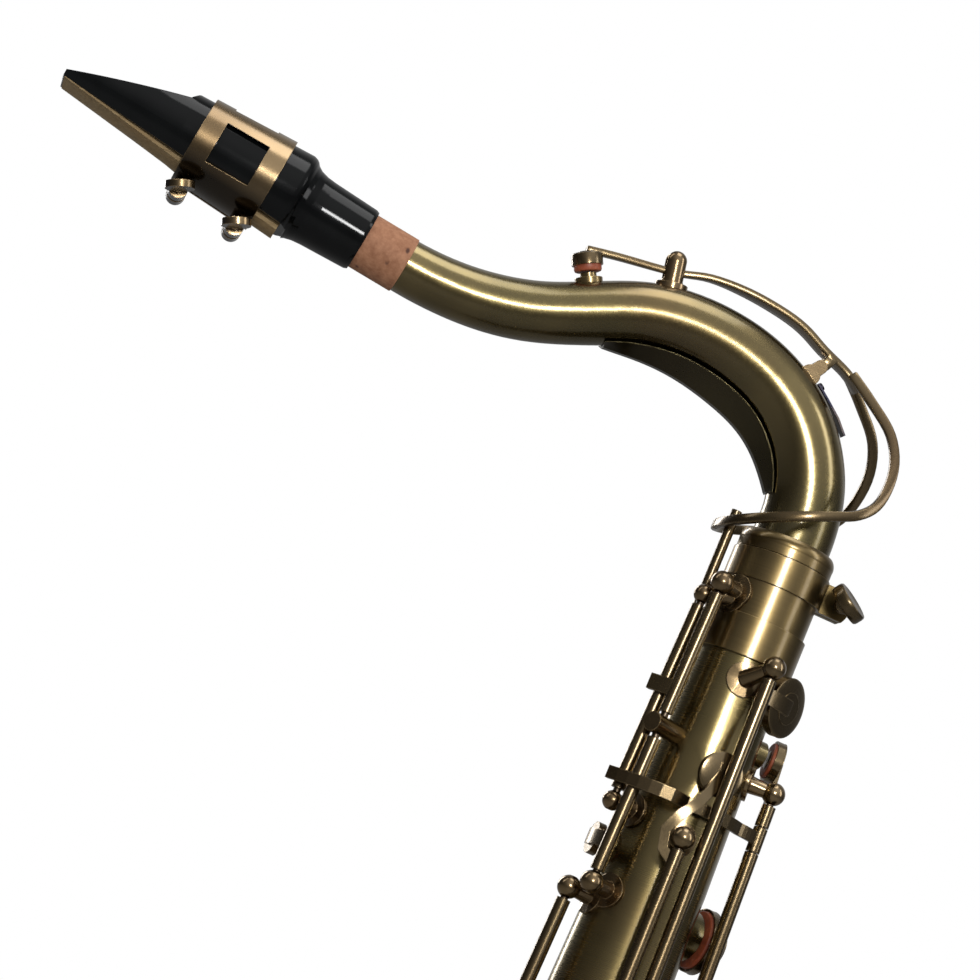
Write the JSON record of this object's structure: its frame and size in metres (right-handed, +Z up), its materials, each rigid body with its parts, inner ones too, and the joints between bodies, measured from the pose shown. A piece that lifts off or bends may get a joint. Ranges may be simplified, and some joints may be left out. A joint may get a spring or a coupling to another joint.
{
  "type": "tenor saxophone",
  "caption": "Tenor saxophone in antique brass: conical body, bow and flared bell, S-curved neck, black mouthpiece, working key levers, cups and octave mechanism.",
  "frame": {"origin": "centre of the strap ring's hole, on the back of the body tube", "axes": "+X to the front, towards the bell; +Y to the player's left, along the strap ring's hole; +Z up along the body tube"},
  "size_m": [0.4681, 0.1548, 0.7502],
  "materials": {
    "tube_brass": "antique brushed brass under clear lacquer",
    "neck_brass": "antique brushed brass under clear lacquer",
    "ring_brass": "antique brass, turned rings with a finer brush",
    "key_brass": "antique brass keys, polished and darkened",
    "post_brass": "turned antique brass posts",
    "rod_steel": "blued and lacquered steel rods",
    "spring_steel": "blued spring steel",
    "ebonite": "polished black ebonite",
    "cane": "cut cane, shaved towards the tip",
    "cork": "natural sheet cork, greased",
    "felt": "pressed felt"
  },
  "bodies": {
    "instrument_body": {"body_tube": "tube_brass", "body_bow": "tube_brass", "bell": "tube_brass", "body_rings": "ring_brass", "bell_brace": "ring_brass", "neck_receiver": "ring_brass", "neck_clamp": "ring_brass", "key_posts": "post_brass", "hinge_rods": "rod_steel", "key_springs": "spring_steel", "thumb_rest_and_hook": "post_brass", "strap_ring": "ring_brass", "key_guards": "post_brass", "guard_felts": "felt"},
    "neck": {"neck_tube": "neck_brass", "neck_collar": "ring_brass", "neck_brace": "neck_brass", "neck_cork": "cork", "neck_octave_pip": "ring_brass", "neck_key_saddle": "post_brass", "neck_key_spring": "spring_steel"},
    "mouthpiece": {"mouthpiece": "ebonite", "reed": "cane", "ligature": "ring_brass"},
    "ligature_screw_front": {"ligature_screw_front": "key_brass"},
    "ligature_screw_rear": {"ligature_screw_rear": "key_brass"},
    "neck_screw": {"neck_screw": "key_brass"},
    "neck_octave_key": {"neck_octave_key": "key_brass"},
    "high_f_sharp_key": {"high_f_sharp_key": "key_brass"},
    "high_e_key": {"high_e_key": "key_brass"},
    "side_c_key": {"side_c_key": "key_brass"},
    "side_b_flat_key": {"side_b_flat_key": "key_brass"},
    "f_sharp_trill_key": {"f_sharp_trill_key": "key_brass"},
    "palm_f_key": {"palm_f_key": "key_brass"},
    "palm_e_flat_key": {"palm_e_flat_key": "key_brass"},
    "palm_d_key": {"palm_d_key": "key_brass"},
    "low_e_flat_key": {"low_e_flat_key": "key_brass"},
    "body_octave_key": {"body_octave_key": "key_brass"},
    "small_c_key": {"small_c_key": "key_brass"},
    "b_key": {"b_key": "key_brass"},
    "bis_key": {"bis_key": "key_brass"},
    "a_key": {"a_key": "key_brass"},
    "g_key": {"g_key": "key_brass"},
    "f_sharp_key": {"f_sharp_key": "key_brass"},
    "f_key": {"f_key": "key_brass"},
    "e_key": {"e_key": "key_brass"},
    "d_key": {"d_key": "key_brass"},
    "low_b_key": {"low_b_key": "key_brass"},
    "low_b_flat_key": {"low_b_flat_key": "key_brass"},
    "low_c_key": {"low_c_key": "key_brass"},
    "g_sharp_key": {"g_sharp_key": "key_brass"},
    "low_c_sharp_key": {"low_c_sharp_key": "key_brass"},
    "g_sharp_lever": {"g_sharp_lever": "key_brass"},
    "low_c_sharp_lever": {"low_c_sharp_lever": "key_brass"},
    "low_b_lever": {"low_b_lever": "key_brass"},
    "low_b_flat_lever": {"low_b_flat_lever": "key_brass"},
    "thumb_octave_lever": {"thumb_octave_lever": "key_brass"},
    "octave_pin": {"octave_pin": "key_brass"},
    "octave_rocker": {"octave_rocker": "key_brass"},
    "octave_link": {"octave_link": "key_brass"}
  },
  "joints": [
    {"name": "neck_swivel", "type": "hinge", "parent": "instrument_body", "child": "neck", "pos_m": [0.03513, 0, 0.2875], "axis": [0, 0, 1], "range_deg": [-12, 12]},
    {"name": "mouthpiece_slide", "type": "slide", "parent": "neck", "child": "mouthpiece", "axis": [-0.9936, 0, 0.1132], "range_m": [-0.002, 0.008]},
    {"name": "ligature_screw_front_turn", "type": "hinge", "parent": "mouthpiece", "child": "ligature_screw_front", "pos_m": [-0.18465, 0, 0.31581], "axis": [0, 1, 0], "continuous": true},
    {"name": "ligature_screw_rear_turn", "type": "hinge", "parent": "mouthpiece", "child": "ligature_screw_rear", "pos_m": [-0.16439, 0, 0.31251], "axis": [0, 1, 0], "continuous": true},
    {"name": "neck_screw_turn", "type": "hinge", "parent": "instrument_body", "child": "neck_screw", "pos_m": [0.05663, 0, 0.2827], "axis": [0, 1, 0], "continuous": true},
    {"name": "neck_octave_key_hinge", "type": "hinge", "parent": "neck", "child": "neck_octave_key", "pos_m": [0.02157, 0, 0.3495], "axis": [0, 1, 0], "range_deg": [0, 2.4], "stiffness_Nm_per_rad": 0.2, "springref_deg": -5.73},
    {"name": "high_f_sharp_key_hinge", "type": "hinge", "parent": "instrument_body", "child": "high_f_sharp_key", "pos_m": [0.04169, -0.02841, 0.06699], "axis": [0.0069, -0.0301, -0.9995], "range_deg": [0, 9], "stiffness_Nm_per_rad": 0.05, "springref_deg": -17.19},
    {"name": "high_e_key_hinge", "type": "hinge", "parent": "instrument_body", "child": "high_e_key", "pos_m": [0.03333, -0.02944, 0.05606], "axis": [-0.0019, -0.0308, -0.9995], "range_deg": [0, 6], "stiffness_Nm_per_rad": 0.05, "springref_deg": -17.19},
    {"name": "side_c_key_hinge", "type": "hinge", "parent": "instrument_body", "child": "side_c_key", "pos_m": [0.02578, -0.02877, 0.03163], "axis": [0.0095, 0.0293, 0.9995], "range_deg": [0, 9], "stiffness_Nm_per_rad": 0.05, "springref_deg": -17.19},
    {"name": "side_b_flat_key_hinge", "type": "hinge", "parent": "instrument_body", "child": "side_b_flat_key", "pos_m": [0.02468, -0.03215, -0.08366], "axis": [0.0095, 0.0293, 0.9995], "range_deg": [0, 9], "stiffness_Nm_per_rad": 0.05, "springref_deg": -17.19},
    {"name": "f_sharp_trill_key_hinge", "type": "hinge", "parent": "instrument_body", "child": "f_sharp_trill_key", "pos_m": [0.05819, -0.02347, -0.05462], "axis": [-0.0216, 0.022, 0.9995], "range_deg": [0, 9], "stiffness_Nm_per_rad": 0.05, "springref_deg": -17.19},
    {"name": "palm_f_key_hinge", "type": "hinge", "parent": "instrument_body", "child": "palm_f_key", "pos_m": [0.0471, 0.02075, 0.23546], "axis": [0.0154, 0.0267, -0.9995], "range_deg": [0, 9], "stiffness_Nm_per_rad": 0.05, "springref_deg": -17.19},
    {"name": "palm_e_flat_key_hinge", "type": "hinge", "parent": "instrument_body", "child": "palm_e_flat_key", "pos_m": [0.04751, 0.02144, 0.20941], "axis": [0.0154, 0.0267, -0.9995], "range_deg": [0, 9], "stiffness_Nm_per_rad": 0.05, "springref_deg": -17.19},
    {"name": "palm_d_key_hinge", "type": "hinge", "parent": "instrument_body", "child": "palm_d_key", "pos_m": [0.048, 0.0223, 0.1775], "axis": [0.0154, 0.0267, -0.9995], "range_deg": [0, 9], "stiffness_Nm_per_rad": 0.05, "springref_deg": -17.19},
    {"name": "low_e_flat_key_hinge", "type": "hinge", "parent": "instrument_body", "child": "low_e_flat_key", "pos_m": [0.0259, -0.03701, -0.22425], "axis": [-0.0075, -0.0299, -0.9995], "range_deg": [0, 9], "stiffness_Nm_per_rad": 0.05, "springref_deg": -17.19},
    {"name": "body_octave_key_hinge", "type": "hinge", "parent": "instrument_body", "child": "body_octave_key", "pos_m": [0.01519, -0.0153, 0.19737], "axis": [0.0245, 0.0188, 0.9995], "range_deg": [0, 9], "stiffness_Nm_per_rad": 0.05, "springref_deg": -17.19},
    {"name": "small_c_key_hinge", "type": "hinge", "parent": "instrument_body", "child": "small_c_key", "pos_m": [0.05926, -0.00513, 0.21218], "axis": [0.0302, -0.0064, -0.9995], "range_deg": [-14, 0], "stiffness_Nm_per_rad": 0.05, "springref_deg": 17.19},
    {"name": "b_key_hinge", "type": "hinge", "parent": "instrument_body", "child": "b_key", "pos_m": [0.06031, -0.00535, 0.17739], "axis": [0.0302, -0.0064, -0.9995], "range_deg": [-9, 0], "stiffness_Nm_per_rad": 0.05, "springref_deg": 17.19},
    {"name": "bis_key_hinge", "type": "hinge", "parent": "instrument_body", "child": "bis_key", "pos_m": [0.06149, -0.0056, 0.1384], "axis": [0.0302, -0.0064, -0.9995], "range_deg": [-9, 0], "stiffness_Nm_per_rad": 0.05, "springref_deg": 17.19},
    {"name": "a_key_hinge", "type": "hinge", "parent": "instrument_body", "child": "a_key", "pos_m": [0.06251, -0.00582, 0.10476], "axis": [0.0302, -0.0064, -0.9995], "range_deg": [-9, 0], "stiffness_Nm_per_rad": 0.05, "springref_deg": 17.19},
    {"name": "g_key_hinge", "type": "hinge", "parent": "instrument_body", "child": "g_key", "pos_m": [0.06358, -0.00605, 0.06911], "axis": [0.0302, -0.0064, -0.9995], "range_deg": [-9, 0], "stiffness_Nm_per_rad": 0.05, "springref_deg": 17.19},
    {"name": "f_sharp_key_hinge", "type": "hinge", "parent": "instrument_body", "child": "f_sharp_key", "pos_m": [0.06061, 0.01852, -0.00891], "axis": [-0.025, -0.0181, 0.9995], "range_deg": [-9, 0], "stiffness_Nm_per_rad": 0.05, "springref_deg": 17.19},
    {"name": "f_key_hinge", "type": "hinge", "parent": "instrument_body", "child": "f_key", "pos_m": [0.06154, 0.01919, -0.04617], "axis": [-0.025, -0.0181, 0.9995], "range_deg": [-9, 0], "stiffness_Nm_per_rad": 0.05, "springref_deg": 17.19},
    {"name": "e_key_hinge", "type": "hinge", "parent": "instrument_body", "child": "e_key", "pos_m": [0.06265, 0.02, -0.09073], "axis": [-0.025, -0.0181, 0.9995], "range_deg": [-9, 0], "stiffness_Nm_per_rad": 0.05, "springref_deg": 17.19},
    {"name": "d_key_hinge", "type": "hinge", "parent": "instrument_body", "child": "d_key", "pos_m": [0.06391, 0.02091, -0.14105], "axis": [-0.025, -0.0181, 0.9995], "range_deg": [-9, 0], "stiffness_Nm_per_rad": 0.05, "springref_deg": 17.19},
    {"name": "low_b_key_hinge", "type": "hinge", "parent": "instrument_body", "child": "low_b_key", "pos_m": [0.11384, -0.02461, -0.1736], "axis": [0, 0, -1], "range_deg": [-9, 0], "stiffness_Nm_per_rad": 0.02, "springref_deg": 8.59},
    {"name": "low_b_flat_key_hinge", "type": "hinge", "parent": "instrument_body", "child": "low_b_flat_key", "pos_m": [0.10989, -0.02671, -0.0999], "axis": [0, 0, -1], "range_deg": [-9, 0], "stiffness_Nm_per_rad": 0.02, "springref_deg": 8.59},
    {"name": "low_c_key_hinge", "type": "hinge", "parent": "instrument_body", "child": "low_c_key", "pos_m": [0.02567, -0.03792, -0.25461], "axis": [-0.0075, -0.0299, -0.9995], "range_deg": [-9, 0], "stiffness_Nm_per_rad": 0.05, "springref_deg": 17.19},
    {"name": "g_sharp_key_hinge", "type": "hinge", "parent": "instrument_body", "child": "g_sharp_key", "pos_m": [0.02563, 0.02923, 0.01581], "axis": [0.0095, -0.0293, 0.9995], "range_deg": [0, 10], "stiffness_Nm_per_rad": 0.02, "springref_deg": -8.59},
    {"name": "low_c_sharp_key_hinge", "type": "hinge", "parent": "instrument_body", "child": "low_c_sharp_key", "pos_m": [0.11446, 0.02428, -0.187], "axis": [0, 0, 1], "range_deg": [0, 9], "stiffness_Nm_per_rad": 0.02, "springref_deg": -8.59},
    {"name": "g_sharp_lever_hinge", "type": "hinge", "parent": "instrument_body", "child": "g_sharp_lever", "pos_m": [0.01543, 0.02521, -0.02473], "axis": [-0.019, 0.0243, -0.9995], "range_deg": [0, 8], "stiffness_Nm_per_rad": 0.05, "springref_deg": -17.19},
    {"name": "low_c_sharp_lever_hinge", "type": "hinge", "parent": "instrument_body", "child": "low_c_sharp_lever", "pos_m": [0.01514, 0.02558, -0.04013], "axis": [-0.019, 0.0243, -0.9995], "range_deg": [0, 8], "stiffness_Nm_per_rad": 0.05, "springref_deg": -17.19},
    {"name": "low_b_lever_hinge", "type": "hinge", "parent": "instrument_body", "child": "low_b_lever", "pos_m": [0.01484, 0.02596, -0.05566], "axis": [-0.019, 0.0243, -0.9995], "range_deg": [0, 8], "stiffness_Nm_per_rad": 0.05, "springref_deg": -17.19},
    {"name": "low_b_flat_lever_hinge", "type": "hinge", "parent": "instrument_body", "child": "low_b_flat_lever", "pos_m": [0.01455, 0.02634, -0.07118], "axis": [-0.019, 0.0243, -0.9995], "range_deg": [0, 8], "stiffness_Nm_per_rad": 0.05, "springref_deg": -17.19},
    {"name": "thumb_octave_lever_hinge", "type": "hinge", "parent": "instrument_body", "child": "thumb_octave_lever", "pos_m": [0.0087, -0.00808, 0.11644], "axis": [-0.0295, -0.009, -0.9995], "range_deg": [0, 8], "stiffness_Nm_per_rad": 0.05, "springref_deg": -17.19},
    {"name": "octave_pin_hinge", "type": "hinge", "parent": "instrument_body", "child": "octave_pin", "pos_m": [0.01298, -0.0094, 0.2323], "axis": [0.0284, 0.0121, 0.9995], "range_deg": [0, 20]},
    {"name": "octave_rocker_hinge", "type": "hinge", "parent": "instrument_body", "child": "octave_rocker", "pos_m": [0.01643, -0.01435, 0.24811], "axis": [0.0245, 0.0188, 0.9995], "range_deg": [0, 8]},
    {"name": "octave_link_hinge", "type": "hinge", "parent": "instrument_body", "child": "octave_link", "pos_m": [0.0595, -0.00518, 0.20441], "axis": [-0.0302, 0.0064, 0.9995], "range_deg": [0, 3]}
  ],
  "couplings": [
    {"joint": "g_sharp_key_hinge", "follows": "g_sharp_lever_hinge", "ratio": 1.25},
    {"joint": "low_c_sharp_key_hinge", "follows": "low_c_sharp_lever_hinge", "ratio": 1.125},
    {"joint": "low_b_key_hinge", "follows": "low_b_lever_hinge", "ratio": -1.125},
    {"joint": "low_b_flat_key_hinge", "follows": "low_b_flat_lever_hinge", "ratio": -1.125},
    {"joint": "octave_pin_hinge", "follows": "thumb_octave_lever_hinge", "ratio": 2.5},
    {"joint": "octave_rocker_hinge", "follows": "thumb_octave_lever_hinge", "ratio": 1},
    {"joint": "neck_octave_key_hinge", "follows": "thumb_octave_lever_hinge", "ratio": 0.2875},
    {"joint": "octave_link_hinge", "follows": "g_key_hinge", "ratio": -0.3}
  ]
}
